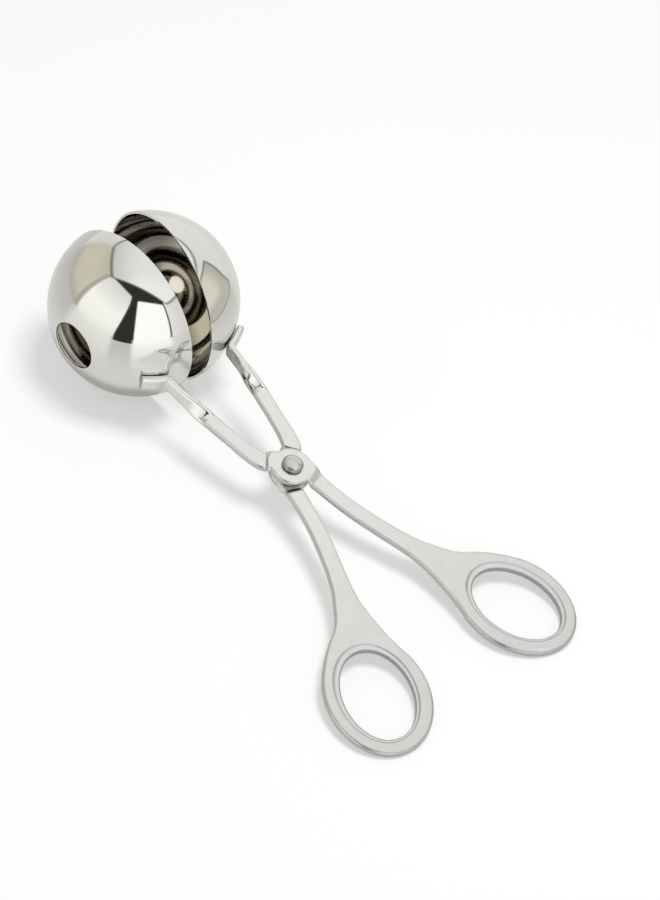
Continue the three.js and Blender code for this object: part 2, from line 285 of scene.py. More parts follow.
def boolean(base, tools):
    """Joins and cuts base with (object, operation) pairs, and takes the tools away."""
    for tool, operation in tools:
        change = base.modifiers.new(operation, "BOOLEAN")
        change.operation = operation
        change.solver = "MANIFOLD"
        change.object = tool
    depsgraph = bpy.context.evaluated_depsgraph_get()
    mesh = bpy.data.meshes.new_from_object(base.evaluated_get(depsgraph))
    if len(mesh.polygons) < len(base.data.polygons) // 2:
        raise RuntimeError(f"the cuts left almost nothing of {base.name}")
    base.modifiers.clear()
    mesh.name = base.name
    mesh.materials.clear()
    base.data = mesh
    for tool, _ in tools:
        bpy.data.objects.remove(tool)
    return base


def smooth(made, sharp_degrees):
    """Smooth shading that keeps folds above an angle crisp and flats flat."""
    mesh = made.data
    mesh.shade_smooth()
    mesh.set_sharp_from_angle(angle=radians(sharp_degrees))
    weighted = made.modifiers.new("weighted normals", "WEIGHTED_NORMAL")
    weighted.keep_sharp = True
    weighted.weight = 80
    return made


def cleaned(made, merge=2e-6):
    """Merges points that the cuts left on top of each other."""
    work = bmesh.new()
    work.from_mesh(made.data)
    bmesh.ops.remove_doubles(work, verts=work.verts, dist=merge)
    bmesh.ops.dissolve_degenerate(work, edges=work.edges, dist=merge)
    bmesh.ops.recalc_face_normals(work, faces=work.faces)
    work.to_mesh(made.data)
    work.free()
    return made


def spline(rows, refine):
    """A centripetal curve through rows of (x, y, width, steps), as (x, y, heading, width)."""
    knots = np.array([row[:3] for row in rows], float)
    knots = np.vstack([2 * knots[0] - knots[1], knots, 2 * knots[-1] - knots[-2]])
    out = []
    for span in range(len(rows) - 1):
        p0, p1, p2, p3 = knots[span : span + 4]
        d0, d1, d2 = (np.linalg.norm(b - a) ** 0.5 for a, b in ((p0, p1), (p1, p2), (p2, p3)))
        t1 = ((p1 - p0) / d0 - (p2 - p0) / (d0 + d1) + (p2 - p1) / d1) * d1
        t2 = ((p2 - p1) / d1 - (p3 - p1) / (d1 + d2) + (p3 - p2) / d2) * d1
        second, third = -3 * p1 + 3 * p2 - 2 * t1 - t2, 2 * p1 - 2 * p2 + t1 + t2
        steps = rows[span][3] * refine
        for i in range(steps):
            t = i / steps
            point = p1 + t1 * t + second * t**2 + third * t**3
            slope = t1 + 2 * second * t + 3 * third * t**2
            out.append((point[0], point[1], atan2(slope[1], slope[0]), point[2]))
    return out


def clamped(share):
    return min(max(share, 0.0), 1.0)


def eased(share):
    share = clamped(share)
    return share * share * (3 - 2 * share)


def lift_at(arm, x, y):
    """Height of the strip's middle: raised at the boss, and down by a step on either side."""
    high = (arm.thickness + arm.clearance) / 2
    beyond = hypot(x, y) - arm.boss_radius - arm.boss_margin

    def pressed(share, straight=0.4):
        return straight * clamped(share) + (1 - straight) * eased(share)

    if x > 0:
        return high * (1 - pressed(beyond / arm.step_run))
    fallen = clamped((-x - arm.boss_radius - arm.boss_margin) / arm.neck_fall)
    low = arm.neck_lift * (1 - fallen)
    return high + (low - high) * pressed((beyond - arm.neck_step_start) / arm.neck_step_run)


def twist_at(share):
    """The turn of the strip: crisp at the fold, then a smooth wind to upright."""
    share = clamped(share)
    xs, ys = zip(*TWIST_ROWS)
    slopes = [(ys[i + 1] - ys[i]) / (xs[i + 1] - xs[i]) for i in range(len(xs) - 1)]
    ends = [slopes[0], slopes[1]]
    ends += [2 * a * b / (a + b) if a * b > 0 else 0.0 for a, b in zip(slopes[1:], slopes[2:])]
    ends.append(0.0)
    span = max(i for i in range(len(slopes)) if share >= xs[i])
    if span == 0:
        return pi / 2 * ys[1] * share / xs[1]
    run = xs[span + 1] - xs[span]
    t = (share - xs[span]) / run
    value = (
        (1 + 2 * t) * (1 - t) ** 2 * ys[span]
        + t * (1 - t) ** 2 * run * ends[span]
        + t * t * (3 - 2 * t) * ys[span + 1]
        + t * t * (t - 1) * run * ends[span + 1]
    )
    return pi / 2 * value


def tab_path(arm, bowl, bend_steps=5, tab_steps=4):
    """The bend and the arc along the bowl, as (x, y, heading), and the x where the bend starts."""
    centre = Vector((-bowl.reach, bowl.cut - arm.clearance / 2))
    arc_radius = bowl.radius + arm.weld_gap + arm.thickness / 2
    drop = arm.neck_offset + arm.tab_bend + centre.y
    between = arc_radius + arm.tab_bend
    bend = Vector((centre.x + sqrt(between**2 - drop**2), -arm.neck_offset - arm.tab_bend))
    contact = asin(drop / between)
    rows = []
    steps = bend_steps * arm.refine
    for i in range(steps):
        a = pi / 2 + (pi / 2 - contact) * i / steps
        x, y = bend.x + arm.tab_bend * cos(a), bend.y + arm.tab_bend * sin(a)
        rows.append((x, y, a + pi / 2))
    steps = tab_steps * arm.refine
    for i in range(steps + 1):
        a = -contact - arm.tab_length / arc_radius * i / steps
        x, y = centre.x + arc_radius * cos(a), centre.y + arc_radius * sin(a)
        rows.append((x, y, a - pi / 2))
    return rows, bend.x


def strip_rows(arm, bend_x):
    """The outline's rows in metres, from the loop's ring to the start of the bend."""
    ring_long = arm.hole_length + 2 * arm.ring_end
    ring_wide = arm.hole_width + 2 * arm.ring_side
    rows = []
    for turn, size, n in BLEND_ROWS:
        out = ring_long / 2 * size * cos(turn)
        rows.append((
            arm.loop_reach + out * cos(arm.loop_turn),
            arm.loop_spread + out * sin(arm.loop_turn),
            ring_wide * size * sin(turn),
            n,
        ))
    for table, along, across, wide in (
        (THROAT_ROWS, arm.loop_reach, arm.loop_spread, ring_wide),
        (HANDLE_ROWS, arm.loop_reach, arm.loop_spread, arm.handle_width),
        (BOSS_ROWS, arm.boss_radius, arm.boss_radius, arm.handle_width),
        (FRONT_ROWS, -arm.twist_start, -arm.neck_offset, arm.neck_width),
    ):
        rows += [(x * along, y * across, width * wide, steps) for x, y, width, steps in table]
    level = -(arm.twist_start + (-bend_x - arm.twist_start) * LEVEL_SHARE)
    rows.append((level, -arm.neck_offset, arm.neck_width, 3))
    rows.append((bend_x, -arm.neck_offset, arm.neck_width, 0))
    return rows


def strip_section(arm, width, arc_steps=8, flat_steps=8):
    """A flat bar's section as (across, up) pairs, anticlockwise, with its four edges rounded."""
    run = min(arm.edge_run, width / 3)
    section = []
    for corner, (side, face) in enumerate(((1, 1), (-1, 1), (-1, -1), (1, -1))):
        arc = [pi / 2 * i / arc_steps for i in range(arc_steps + 1)]
        if corner % 2:
            arc.reverse()
        for a in arc:
            across = width / 2 - run + run * cos(a)
            up = arm.thickness / 2 - arm.edge_drop + arm.edge_drop * sin(a)
            section.append((side * across, face * up))
        if corner % 2 == 0:
            reach = width / 2 - run
            for i in range(1, flat_steps):
                section.append((side * reach * (1 - 2 * i / flat_steps), face * arm.thickness / 2))
    return section


def strip_rings(arm, bowl):
    """The strip's section laid along the outline, lifted at the boss and turned by the twist."""
    tab, bend_x = tab_path(arm, bowl)
    stations = spline(strip_rows(arm, bend_x), arm.refine)
    stations += [(x, y, heading, arm.neck_width) for x, y, heading in tab]
    rings = []
    for x, y, heading, width in stations:
        lift = lift_at(arm, x, y)
        turn = twist_at((-x - arm.twist_start) / (-bend_x - arm.twist_start))
        side_x, side_y = -sin(heading), cos(heading)
        ring = []
        for across, up in strip_section(arm, width):
            out = across * cos(turn) + up * sin(turn)
            high = up * cos(turn) - across * sin(turn)
            ring.append((x + out * side_x, y + out * side_y, lift + high))
        rings.append(ring)
    return rings


def oval_ring(half_long, half_wide, offset, height, count, shift=(0.0, 0.0)):
    """Points round an oval, each moved outwards by offset and then all of them by shift."""
    ring = []
    for i in range(count):
        a = 2 * pi * i / count
        normal = Vector((half_wide * cos(a), half_long * sin(a))).normalized()
        ring.append((
            half_long * cos(a) + offset * normal.x + shift[0],
            half_wide * sin(a) + offset * normal.y + shift[1],
            height,
        ))
    return ring


def rounded_plate(name, arm, half_long, half_wide, count, steps=8):
    """An oval plate of the strip's thickness, with the strip's rounded edge."""
    half = arm.thickness / 2
    levels = []
    for i in range(steps + 1):
        a = pi / 2 * i / steps
        levels.append((
            -half + arm.edge_drop * (1 - cos(a)), -arm.edge_run * (1 - sin(a))
        ))
    levels += [(-z, offset) for z, offset in reversed(levels)]
    rings = [oval_ring(half_long, half_wide, offset, z, count) for z, offset in levels]
    return new_object(name, *skinned(rings))


def hole_cutter(arm, count, fold_steps=4, shoulder_steps=8):
    """Straight in the middle, a slight slope outwards, and a rounded shoulder up to both faces."""
    half, over, flare = arm.thickness / 2, 0.001, 0.3
    ease, ease_out, rise, crease = 0.00022, 0.35, 0.25, 0.15
    fold, fold_out = half - arm.coin_depth, ease_out * ease
    foot = arm.coin_width - arm.coin_shoulder
    slope_top = fold + rise * arm.coin_depth
    low = slope_top - arm.coin_crease
    levels = [(0.0, 0.0)]
    for i in range(fold_steps + 1):
        t = i / fold_steps
        levels.append((fold - ease * (1 - t) ** 2, fold_out * t * t))
    for i in range(1, fold_steps):
        t = i / fold_steps
        levels.append((fold + (slope_top - fold) * t, fold_out + (foot - fold_out) * t))
    levels.append((low, foot + crease * arm.coin_shoulder))
    for i in range(1, shoulder_steps + 1):
        t = i / shoulder_steps
        run = crease + (1 - crease) * t
        levels.append((low + (half - low) * eased(t), foot + arm.coin_shoulder * run))
    levels.append((half + over, arm.coin_width + flare * over))
    rings = []
    for z, out in [(-z, out) for z, out in reversed(levels[1:])] + levels:
        share = min(out / arm.coin_width, 1.0)
        rings.append(oval_ring(
            arm.hole_length / 2 + out, arm.hole_width / 2 + out, 0.0, z, count,
            (-share * arm.coin_along, share * arm.coin_across),
        ))
    return new_object("hole cutter", *skinned(rings))


def stamped_arm(name, loop_points=160, boss_points=96, bore_points=64, bore_half=0.004):
    """The strip with its ring and boss joined on, and the finger hole and the bore cut out."""
    arm, bowl, _ = sizes()
    made = new_object(name, *skinned(strip_rings(arm, bowl)))
    at_loop = Matrix.Translation((arm.loop_reach, arm.loop_spread, 0))
    at_loop @= Matrix.Rotation(arm.loop_turn, 4, "Z")
    long, wide = arm.hole_length / 2 + arm.ring_end, arm.hole_width / 2 + arm.ring_side
    ring = rounded_plate("ring", arm, long, wide, loop_points)
    ring.data.transform(at_loop)
    boss = rounded_plate("boss", arm, arm.boss_radius, arm.boss_radius, boss_points)
    boss.data.transform(Matrix.Translation((0, 0, lift_at(arm, 0, 0))))
    hole = hole_cutter(arm, loop_points)
    hole.data.transform(at_loop)
    radius, ends = arm.bore_radius, (-bore_half, bore_half)
    bore = skinned([oval_ring(radius, radius, 0, z, bore_points) for z in ends])
    bore = new_object("bore", *bore)
    boolean(made, [(ring, "UNION"), (boss, "UNION"), (hole, "DIFFERENCE"), (bore, "DIFFERENCE")])
    cleaned(made)
    mark_cut_steel_and_shade(made, arm, bowl, at_loop.inverted())
    return smooth(made, sharp_degrees=16)


def mark_cut_steel_and_shade(made, arm, bowl, to_loop):
    """Marks, from 0 to 1, the cut steel of the finger hole's punched wall, and painted shade
    elsewhere.

    The painted shade lies on the shoulder round the hole, the strip's sides, the steps beside the
    boss, the neck's inner face and the tab's cut end.
    """
    points = own_points(made)
    x, y, z = points.T
    loop = points @ np.array(to_loop.to_3x3()).T + np.array(to_loop.translation)
    out = np.hypot(loop[:, 0] / (arm.hole_length / 2), loop[:, 1] / (arm.hole_width / 2))
    half, high = arm.thickness / 2, np.abs(z)
    wall = (out < WALL_REACH) & (high < half - arm.coin_depth + WALL_SLACK)
    # Painted shade on the shoulder round the hole, darkest half way up.
    rise = (half - high) / (SHOULDER_RISE * arm.coin_depth)
    shoulder = np.clip(4 * rise * (1 - rise), 0, 1) * (out < SHOULDER_REACH)
    shoulder = shoulder * (high > half - SHOULDER_DEPTH * arm.coin_depth)
    # Painted shade on the sides of boss, handle, loop and neck, as far as the twist.
    beyond = np.hypot(x, y) - arm.boss_radius - arm.boss_margin
    forward = x < 0
    fallen = np.clip((-x - arm.boss_radius - arm.boss_margin) / arm.neck_fall, 0, 1)
    middle = np.where(forward, arm.neck_lift * (1 - fallen), 0)
    middle = np.where(beyond < 0, lift_at(arm, 0, 0), middle)
    step_end = np.where(forward, arm.neck_step_start + arm.neck_step_run, arm.step_run)
    level = ((beyond < 0) | (beyond > step_end)) & (x > -arm.twist_start)
    sides = np.clip((half - SIDE_START - np.abs(z - middle)) / SIDE_FADE, 0, 1)
    sides = sides * level * (out > RING_REACH)
    # Painted shade on the steps beside the boss, where the strip was drawn down.
    first, last = STEP_SPAN
    ramp = ~forward & (beyond > first * arm.step_run) & (beyond < last * arm.step_run)
    along_step = (beyond - arm.neck_step_start) / arm.neck_step_run
    neck_ramp = forward & (along_step > first) & (along_step < last)
    # Painted shade on the neck's inner face, darker towards the bowl and round the bend.
    tab, bend_x = tab_path(arm, bowl)
    level_x = arm.twist_start + (-bend_x - arm.twist_start) * LEVEL_SHARE
    darker_towards_bowl = np.clip((-x - level_x) / (-bend_x - level_x), 0, 1)
    from_middle = y + arm.neck_offset
    from_bend = np.hypot(x - bend_x, from_middle + arm.tab_bend) - arm.tab_bend
    from_bend = np.where(from_middle > -arm.tab_bend, from_bend, 0)
    inner = np.where(x > bend_x, from_middle, from_bend) > INNER_FACE * arm.thickness
    # Painted shade on the cut end of the weld tab.
    end_x, end_y, heading = tab[-1]
    past = (x - end_x) * cos(heading) + (y - end_y) * sin(heading)
    end = (past > -END_DEPTH) & (x < -arm.twist_start)
    value = np.maximum.reduce([
        wall, CREASE_SHADE * shoulder, SIDE_SHADE * sides, RAMP_SHADE * ramp,
        NECK_RAMP_SHADE * neck_ramp, INNER_SHADE * inner * darker_towards_bowl, END_SHADE * end,
    ])
    marks = made.data.attributes.new(CUT_STEEL_AND_SHADE, "FLOAT", "POINT")
    marks.data.foreach_set("value", value.astype(np.float32))


def turned(name, profile, segments, closed=False):
    """A piece turned about Z from (radius, height) pairs."""
    turns = [2 * pi * i / segments for i in range(segments)]
    points = [(radius * cos(a), radius * sin(a), z) for radius, z in profile for a in turns]
    return cleaned(new_object(name, points, side_faces(len(profile), segments, closed)))


def bowl_shell(name):
    """The bowl turned about Z, with its rim's plane at z = 0 and its pole upwards."""
    _, bowl, _ = sizes()

    def arc(radius):
        low, high = asin(bowl.cut / radius), acos(bowl.hole_radius / radius)
        turns = [low + (high - low) * i / bowl.rings for i in range(bowl.rings + 1)]
        return [(radius * cos(a), radius * sin(a) - bowl.cut) for a in turns]

    outer, inner = arc(bowl.radius), arc(bowl.radius - bowl.wall)[::-1]
    made = turned(name, outer + inner, bowl.segments, closed=True)
    work = bmesh.new()
    work.from_mesh(made.data)
    sharp = radians(45)
    folds = [edge for edge in work.edges if edge.is_manifold and edge.calc_face_angle(0) > sharp]
    bmesh.ops.bevel(work, geom=folds, offset=bowl.lip, segments=3, profile=0.5, affect="EDGES")
    # Faces nearer to the centre than this get the inside's material.
    centre, middle = Vector((0, 0, -bowl.cut)), bowl.radius - bowl.wall * 0.8
    for face in work.faces:
        face.material_index = int((face.calc_center_median() - centre).length < middle)
    work.to_mesh(made.data)
    work.free()
    return smooth(made, sharp_degrees=60)


def domed_rivet(name, steps=14, ease=0.00012):
    """Head, shank and tail in one, turned about Z."""
    arm, _, rivet = sizes()
    seat = arm.thickness + arm.clearance * 1.5

    def dome(radius, height, turn):
        rise = height - rivet.edge
        ball = (radius**2 + rise**2) / (2 * rise)
        rows = []
        for i in range(steps + 1):
            a = asin(radius / ball) * i / steps
            rows.append((ball * sin(a), turn * (seat + height - ball * (1 - cos(a)))))
        return rows + [(radius, turn * (seat + ease)), (radius - ease, turn * seat)]

    profile = dome(rivet.tail_radius, rivet.tail_height, -1)
    profile += [(rivet.shank_radius, -seat), (rivet.shank_radius, seat)]
    profile += dome(rivet.head_radius, rivet.head_height, 1)[::-1]
    return smooth(turned(name, profile, segments=72), sharp_degrees=50)


# Materials. Noise scales are in waves per metre. A pair is where a ramp starts and ends, in shares
# of a noise or in metres in the piece's own coordinates.


NARROW, WIDE, UPPER, TOP = (0.35, 0.65), (0.3, 0.7), (0.4, 0.7), (0.5, 0.62)
WORN_EDGE = (0.51, 0.545)  # of Pointiness
# Painted light along the arm: where it changes, in metres, and how bright it is at either end.
ARM_LIGHT_SPAN, ARM_LIGHT_TONES = (0.015, 0.075), (1.11, 0.95)
PRESS_START, PRESS_END = (-0.0235, -0.0245), (-0.034, -0.030)
# Painted shade on the bowls' inside: where it starts towards the ends and near the rim, and how
# dark it gets.
SHADE_ENDS, SHADE_SIDES, INSIDE_SHADE = (0.012, 0.0175), (0.0155, 0.0185), 0.5
# Painted shade round the rivet's rim, where it starts and ends in metres.
RIM_SHADE = (0.0021, 0.0026)
SCRATCH_STRETCH, SCRATCH_WIDTH, PATCH_SIZE = 0.02, 0.012, (60, 60, 60)


class Nodes:
    """A node tree with short ways to add and join nodes."""

    def __init__(self, tree):
        self.tree = tree
        tree.nodes.clear()

    def add(self, kind, inputs=(), **settings):
        node = self.tree.nodes.new(kind)
        for key, value in settings.items():
            setattr(node, key, value)
        for key, value in dict(inputs).items():
            self.feed(node.inputs[key], value)
        return node

    def feed(self, socket, value):
        if isinstance(value, bpy.types.NodeSocket):
            self.tree.links.new(value, socket)
        elif isinstance(value, bpy.types.Node):
            self.tree.links.new(value.outputs[0], socket)
        elif socket.type == "RGBA" and len(value) == 3:
            socket.default_value = (*value, 1.0)
        else:
            socket.default_value = value

    def math(self, operation, *values):
        return self.add("ShaderNodeMath", dict(enumerate(values)), operation=operation).outputs[0]

    def product(self, value, *others):
        for other in others:
            value = self.math("MULTIPLY", value, other)
        return value

    def raised(self, value, *parts):
        """A value with each part added, given as (share, amount)."""
        for share, amount in parts:
            value = self.math("ADD", value, self.product(share, amount))
        return value

    def without(self, a, b):
        return self.product(a, self.math("SUBTRACT", 1.0, b))

    def slope(self, x, y, a, b):
        return self.math("ADD", self.product(x, a), self.product(y, b))

    def radius(self, x, y):
        squares = self.math("ADD", self.math("POWER", x, 2.0), self.math("POWER", y, 2.0))
        return self.math("SQRT", squares)

    def bearing(self, x, y):
        return self.product(self.math("ARCTAN2", y, x), 180 / pi)

    def ramp(self, value, low, high, to_low=0.0, to_high=1.0, kind="LINEAR"):
        keys = ("Value", "From Min", "From Max", "To Min", "To Max")
        inputs = dict(zip(keys, (value, low, high, to_low, to_high)))
        return self.add("ShaderNodeMapRange", inputs, interpolation_type=kind).outputs[0]

    def soft(self, value, low, high, to_low=0.0, to_high=1.0):
        return self.ramp(value, low, high, to_low, to_high, "SMOOTHSTEP")

    def window(self, value, rise, fall, kind="LINEAR"):
        """1 between a rising ramp and a falling one, 0 outside them."""
        rising = self.ramp(value, *rise, 0.0, 1.0, kind)
        return self.product(rising, self.ramp(value, *fall, 1.0, 0.0, kind))

    def stops(self, value, low, high, pairs, tint):
        """A run through (place, level) pairs, tinted."""
        node = self.add("ShaderNodeValToRGB", {0: self.ramp(value, low, high)})
        elements = node.color_ramp.elements
        while len(elements) < len(pairs):
            elements.new(1.0)
        for element, (place, level) in zip(elements, pairs):
            element.position = (place - low) / (high - low)
            element.color = (*shaded(tint, level), 1.0)
        return node.outputs[0]

    def mix(self, share, a, b):
        node = self.add("ShaderNodeMix", data_type="RGBA")
        # With colours, the factor is input 0, the colours are 6 and 7, and the result is output 2.
        for socket, value in ((0, share), (6, a), (7, b)):
            self.feed(node.inputs[socket], value)
        return node.outputs[2]

    def noise(self, vector, scale, detail=2.0, roughness=0.5):
        inputs = {"Vector": vector, "Scale": scale, "Detail": detail, "Roughness": roughness}
        return self.add("ShaderNodeTexNoise", inputs).outputs[0]

    def axes(self, vector):
        return self.add("ShaderNodeSeparateXYZ", {"Vector": vector}).outputs

    def rays(self):
        """1 for the camera's rays, and 1 for those that metal or glass sends on."""
        path = self.add("ShaderNodeLightPath").outputs
        seen = self.math("MAXIMUM", path["Is Glossy Ray"], path["Is Transmission Ray"])
        return path["Is Camera Ray"], seen


def shaded(tint, share):
    return tuple(part * share for part in tint)


def new_material(name):
    material = bpy.data.materials.new(name)
    material.use_nodes = True
    return material


class Steel(Nodes):
    """The nodes of a metal, where place is each point's own place in its piece."""

    def __init__(self, name, colour_of):
        self.material, self.colour = new_material(name), colour_of
        super().__init__(self.material.node_tree)
        self.material.diffuse_color = (*colour_of, 1.0)
        self.shader = self.add("ShaderNodeBsdfPrincipled", {"Metallic": 1.0})
        self.add("ShaderNodeOutputMaterial", {"Surface": self.shader})
        self.place = self.add("ShaderNodeAttribute", attribute_name=STOCK).outputs["Vector"]

    def stretched(self, scale, turn=(0.0, 0.0, 0.0)):
        inputs = {"Vector": self.place, "Scale": scale, "Rotation": turn}
        return self.add("ShaderNodeMapping", inputs).outputs[0]

    def toned(self, share, tint, tone):
        return self.mix(share, tint, shaded(self.colour, tone))

    def scratches(self, scale, turns):
        """Sparse fine lines in several directions, 0 to 1."""
        total, fine = 0.0, scale * SCRATCH_STRETCH
        for turn in turns:
            along = self.stretched((scale, fine, fine), (0.3 * turn, 0.2, turn))
            line = self.noise(along, 1.0, detail=3.0, roughness=0.6)
            off_line = self.math("ABSOLUTE", self.math("SUBTRACT", line, 0.5))
            thin = self.ramp(off_line, 0.0, SCRATCH_WIDTH, 1.0, 0.0)
            patch = self.ramp(self.noise(self.stretched(PATCH_SIZE, (turn, 0, 0)), 4.0), *TOP)
            total = self.math("MAXIMUM", total, self.product(thin, patch))
        return total

    def finished(self, tint, rough, *bumps):
        """The material, with its colour, its roughness and (height, distance, strength) bumps."""
        normal = {}
        for bump in bumps:
            inputs = dict(zip(("Height", "Distance", "Strength"), bump), **normal)
            normal = {"Normal": self.add("ShaderNodeBump", inputs)}
        for name, value in {"Base Color": tint, "Roughness": rough, **normal}.items():
            self.feed(self.shader.inputs[name], value)
        return self.material


def satin_steel():
    """Tumbled stainless: an even fine grain, soft dents, a few stray scratches, burnished edges,
    painted light along the arm and painted shade where marked.
    """
    look = bpy.context.scene.scoop_finishes
    steel = Steel("satin steel", look.satin[:])
    grain = steel.noise(steel.place, 5200.0, roughness=0.6)
    cloud = steel.noise(steel.place, 260.0, detail=3.0, roughness=0.55)
    broad = steel.noise(steel.place, 70.0)
    lines = steel.scratches(1400.0, (0.4, 1.7, 2.6))
    worn = steel.ramp(steel.add("ShaderNodeNewGeometry").outputs["Pointiness"], *WORN_EDGE)
    along = steel.axes(steel.place)["X"]
    streak = steel.noise(steel.stretched((1600.0, 1600.0, 120.0)), 1.0, detail=3.0, roughness=0.6)
    # Cut steel on the finger hole's wall, and painted shade on the other marked places.
    cut = steel.add("ShaderNodeAttribute", attribute_name=CUT_STEEL_AND_SHADE).outputs["Fac"]
    cut = steel.product(cut, steel.ramp(streak, 0.25, 0.75, 0.8, 1.0))
    # The twist's tools press the strip smooth.
    pressed = steel.product(steel.ramp(along, *PRESS_START), steel.ramp(along, *PRESS_END))

    tint = steel.mix(steel.ramp(cloud, *NARROW), shaded(steel.colour, 0.945), steel.colour)
    tint = steel.toned(steel.product(steel.ramp(grain, *WIDE), 0.25), tint, 0.93)
    # Painted light: the arm is brighter towards the neck and darker towards its loop.
    painted_light = {0: tint, "Scale": steel.ramp(along, *ARM_LIGHT_SPAN, *ARM_LIGHT_TONES)}
    tint = steel.add("ShaderNodeVectorMath", painted_light, operation="SCALE").outputs[0]
    tint = steel.mix(steel.product(worn, 0.8), tint, look.burnished[:])
    # The marked places take the dark colour: cut steel at the hole's wall, painted shade elsewhere.
    tint = steel.mix(cut, tint, look.cut_steel_and_shade[:])

    rough = steel.math("ADD", steel.ramp(cloud, *WIDE, -0.025, 0.03), look.satin_roughness)
    rough = steel.math("ADD", rough, steel.ramp(broad, *NARROW, -0.015, 0.02))
    rough = steel.raised(rough, (lines, 0.10), (worn, 0.08), (cut, 0.16), (pressed, -0.135))
    bumps = (cloud, 0.00003, 0.35), (grain, 0.000006, 0.5), (lines, -0.000006, 0.4)
    return steel.finished(tint, rough, *bumps)


def polished_steel(name, colour_of, roughness, shade_share=1.0):
    """Mirror-polished pressed stainless: slight waviness, faint spun rings, haze, hairlines.

    Painted shade: towards the ends along the scoop, and near the rim above and below, the colour
    falls to its shade_share.
    """
    steel = Steel(name, colour_of)
    wave = steel.noise(steel.place, 90.0, detail=1.0, roughness=0.4)
    haze = steel.noise(steel.place, 120.0, detail=4.0, roughness=0.6)
    along, across, height = steel.axes(steel.place)
    level = steel.add("ShaderNodeCombineXYZ", {"Z": height})
    spun = steel.noise(level, 6000.0, roughness=0.7)
    lines = steel.scratches(900.0, (0.9, 2.2))

    tint = steel.toned(steel.ramp(haze, 0.35, 0.7), colour_of, 0.97)
    # Painted shade: darker towards the ends and near the rim.
    if shade_share < 1.0:
        ends = steel.soft(steel.math("ABSOLUTE", along), *SHADE_ENDS)
        sides = steel.soft(steel.math("ABSOLUTE", across), *SHADE_SIDES)
        tint = steel.toned(steel.math("MAXIMUM", ends, sides), tint, shade_share)

    rough = steel.math("ADD", steel.ramp(haze, 0.4, 0.75, 0.0, 0.03), roughness)
    rough = steel.raised(rough, (steel.ramp(spun, *UPPER), 0.012), (lines, 0.05))
    return steel.finished(tint, rough, (wave, 0.00006, 0.25), (spun, 0.0000006, 0.3))


def rivet_steel():
    """Half-bright turned stainless: fine turning rings, a rougher rim with painted shade, small
    marks from setting.
    """
    look = bpy.context.scene.scoop_finishes
    steel = Steel("rivet steel", look.rivet[:])
    x, y, _ = steel.axes(steel.place)
    radius = steel.radius(x, y)
    rings = steel.noise(steel.add("ShaderNodeCombineXYZ", {"X": radius}), 9000.0, roughness=0.6)
    dents = steel.noise(steel.place, 900.0, detail=3.0, roughness=0.6)
    rim_shade = steel.ramp(radius, *RIM_SHADE)
    tint = steel.toned(steel.ramp(dents, *UPPER), steel.colour, 0.9)
    # Painted shade round the rim, which is also rougher.
    tint = steel.toned(rim_shade, tint, 0.5)
    rough = steel.math("ADD", steel.ramp(dents, *WIDE, -0.04, 0.05), look.rivet_roughness)
    rough = steel.raised(rough, (rim_shade, 0.08))
    return steel.finished(tint, rough, (rings, 0.000004, 0.4), (dents, 0.00001, 0.3))


def placed(made, side, matrix, slot, node, *materials):
    """Puts a piece where the frame has it. Its own coordinates stay with its points."""
    stock = made.data.attributes.new(STOCK, "FLOAT_VECTOR", "POINT")
    stock.data.foreach_set("vector", own_points(made).ravel())
    made.data.transform(matrix)
    for material in materials:
        made.data.materials.append(material)
    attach(made, side + "_half")
    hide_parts(node)


class SCOOP_OT_arms(bpy.types.Operator):
    """Stamp both arms from one shape, the lower one turned over"""

    bl_idname = "scoop.arms"
    bl_label = "Stamp Arms"

    def execute(self, context):
        material = satin_steel()
        first = stamped_arm("upper_arm_stamping")
        second = first.copy()
        second.data = first.data.copy()
        second.name = "lower_arm_stamping"
        context.scene.collection.objects.link(second)
        for made, side in ((first, "upper"), (second, "lower")):
            placed(made, side, arm_matrix(side), "satin_steel", side + "_arm", material)
        return {"FINISHED"}


class SCOOP_OT_bowls(bpy.types.Operator):
    """Press and polish both bowls"""

    bl_idname = "scoop.bowls"
    bl_label = "Press Bowls"

    def execute(self, context):
        arm, bowl, _ = sizes()
        look = context.scene.scoop_finishes
        # The inside takes a darker, browner copy of the polished steel, painted shade, and is a
        # little rougher.
        inside = look.inside[:], look.inside_roughness, INSIDE_SHADE
        steels = (
            polished_steel("polished steel", look.polished[:], look.polished_roughness),
            polished_steel("polished steel inside", *inside),
        )
        at_rim = Matrix.Translation((-bowl.reach, -arm.clearance / 2, 0))
        at_rim @= Matrix.Rotation(pi / 2, 4, "X")
        for side in ("upper", "lower"):
            made, matrix = bowl_shell(side + "_bowl_shell"), arm_matrix(side) @ at_rim
            placed(made, side, matrix, "polished_steel", side + "_bowl", *steels)
        return {"FINISHED"}


class SCOOP_OT_rivet(bpy.types.Operator):
    """Turn the domed rivet"""

    bl_idname = "scoop.rivet"
    bl_label = "Turn Rivet"

    def execute(self, context):
        made = domed_rivet("domed_rivet")
        placed(made, "upper", leaning(), "rivet_steel", "pivot_rivet", rivet_steel())
        return {"FINISHED"}


# The stage, as the polished bowls show it. Bearings are in degrees from +X towards +Y. A height is
# the sine of the angle above the table. An edge (a, b, c) is the line a x + b y = c on a plane one
# unit overhead. Spans and edges end with their softness. Lengths are in metres.


WHITE, DARK, EDGE_LINE = (1.0, 1.0, 1.0), (0.035, 0.037, 0.035), (0.1, 0.1, 0.095)
PALE, WARM, BEIGE = (1.0, 1.0, 0.985), (1.0, 0.995, 0.95), (1.06, 1.0, 0.82)
ROUND, HEIGHTS = (-180, 180), (-0.1, 0.9)
SKY_TINT = (1.0, 1.0, 0.995)
NEVER_LEVEL = 0.0001  # least height, so that a level way still meets the plane overhead

